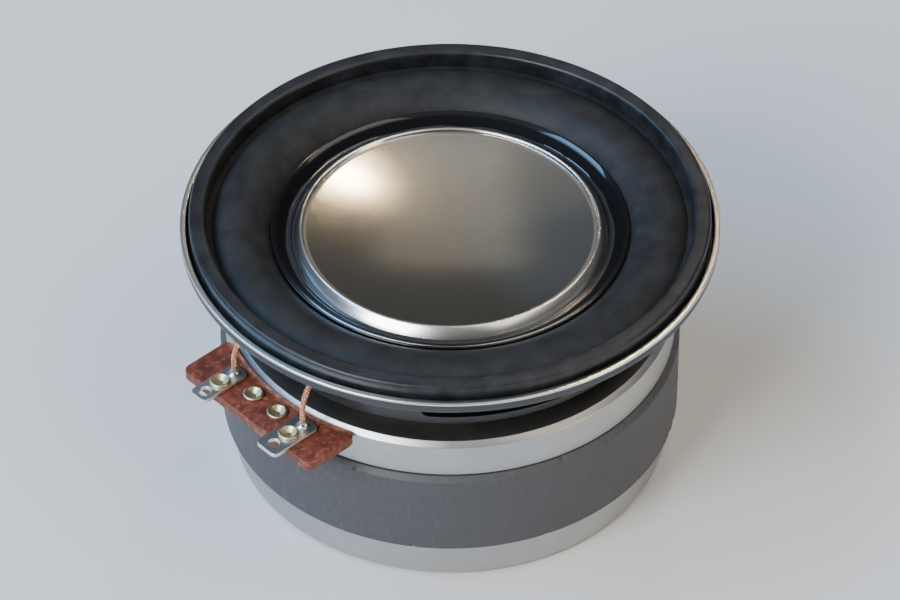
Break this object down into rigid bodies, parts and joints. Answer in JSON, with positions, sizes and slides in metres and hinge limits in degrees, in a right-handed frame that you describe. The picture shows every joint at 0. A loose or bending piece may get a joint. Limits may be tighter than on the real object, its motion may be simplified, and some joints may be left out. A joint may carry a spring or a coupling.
{
  "type": "car speaker driver",
  "caption": "Small round full-range car speaker: pressed steel frame, ferrite motor, rubber surround and black cone with a concave metal dish cap that travels in and out.",
  "frame": {"origin": "centre of the motor's flat rear face", "axes": "+Z along the cone's travel, out of the front towards the listener; the terminals point along -Y"},
  "size_m": [0.052, 0.0544, 0.0283],
  "materials": {
    "frame_steel": "black-zinc plated pressed sheet, bright cut edge",
    "stake_steel": "plain plated steel",
    "gasket_rubber": "smooth satin rubber",
    "yoke_steel": "turned, zinc plated",
    "ferrite": "ground ferrite, dark grey",
    "magnet_glue": "cured glue",
    "plate_steel": "bright zinc plating",
    "cap_copper": "drawn copper sheet",
    "phenolic": "punched phenolic paper laminate",
    "rivet_metal": "plated rivets",
    "tinned_metal": "tinned",
    "solder": "bright solder",
    "amber_glue": "cured amber glue",
    "cone_black": "coated black pressed fibre, glossy",
    "cap_metal": "spun satin face, polished rolled rim",
    "black_glue": "cured black glue",
    "former_sheet": "thin rolled sheet",
    "coil_copper": "enamelled copper wire",
    "kraft": "kraft paper wrap",
    "surround_rubber": "matte moulded rubber",
    "spider_cloth": "resin-treated woven cloth",
    "braid": "braided copper tinsel"
  },
  "bodies": {
    "frame": {"basket": "frame_steel", "basket_stakes": "stake_steel", "gasket": "gasket_rubber", "yoke": "yoke_steel", "magnet": "ferrite", "magnet_rear_adhesive": "magnet_glue", "magnet_front_adhesive": "magnet_glue", "top_plate": "plate_steel", "pole_cap": "cap_copper", "terminal_board": "phenolic", "board_rivets": "rivet_metal", "terminal_positive": "tinned_metal", "terminal_negative": "tinned_metal", "terminal_rivets": "rivet_metal", "solder_joints": "solder", "spider_adhesive": "amber_glue", "surround": "surround_rubber", "spider": "spider_cloth", "lead_positive": "braid", "lead_negative": "braid"},
    "diaphragm": {"cone": "cone_black", "dish_cap": "cap_metal", "cap_adhesive": "black_glue", "former": "former_sheet", "voice_coil": "coil_copper", "former_collar": "kraft", "neck_adhesive": "black_glue", "lead_pads": "black_glue"}
  },
  "joints": [
    {"name": "diaphragm_travel", "type": "slide", "parent": "frame", "child": "diaphragm", "axis": [0, 0, 1], "range_m": [-0.0015, 0.0015], "stiffness_N_per_m": 1000, "deforming": ["surround", "spider", "lead_positive", "lead_negative"]}
  ]
}
